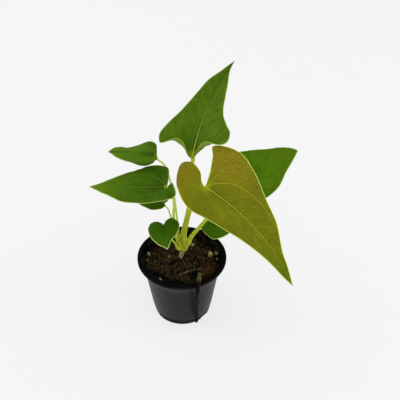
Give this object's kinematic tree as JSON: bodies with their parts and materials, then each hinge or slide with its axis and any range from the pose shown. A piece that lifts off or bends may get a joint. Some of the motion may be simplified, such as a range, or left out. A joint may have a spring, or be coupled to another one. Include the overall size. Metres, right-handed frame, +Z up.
{
  "type": "potted crisped anthurium ferrierense",
  "caption": "Young aroid house plant with heart-shaped green leaves and one large bronze new leaf, standing in soil in a small black nursery pot.",
  "frame": {"origin": "middle of the pot's underside, on the surface that the pot stands on", "axes": "+Z up along the pot's axis, +X to the right and +Y to the back as the picture shows the plant"},
  "size_m": [0.1373, 0.0917, 0.1691],
  "materials": {
    "pot_plastic": "satin black",
    "soil_mix": "dark damp bark and peat with pale lumps",
    "stem_bark": "tan below, yellow-green above, matt",
    "petiole_green": "smooth yellow-green, satin",
    "petiole_bronze": "smooth olive brown, satin",
    "blade_green": "leathery green with a soft sheen and a pale margin",
    "blade_bronze": "young olive bronze with yellow-green veins, soft sheen",
    "root_bark": "dark brown, matt"
  },
  "bodies": {
    "root": {"pot": "pot_plastic", "soil": "soil_mix", "crown_stem": "stem_bark", "petiole_top": "petiole_green", "blade_top": "blade_green", "petiole_bronze": "petiole_bronze", "blade_bronze": "blade_bronze", "petiole_right": "petiole_green", "blade_right": "blade_green", "petiole_small": "petiole_green", "blade_small": "blade_green", "petiole_mid_left": "petiole_green", "blade_mid_left": "blade_green", "petiole_upper_left": "petiole_green", "blade_upper_left": "blade_green", "petiole_lower_left": "petiole_green", "blade_lower_left": "blade_green", "petiole_heart": "petiole_green", "blade_heart": "blade_green", "loose_root": "root_bark"}
  },
  "joints": []
}
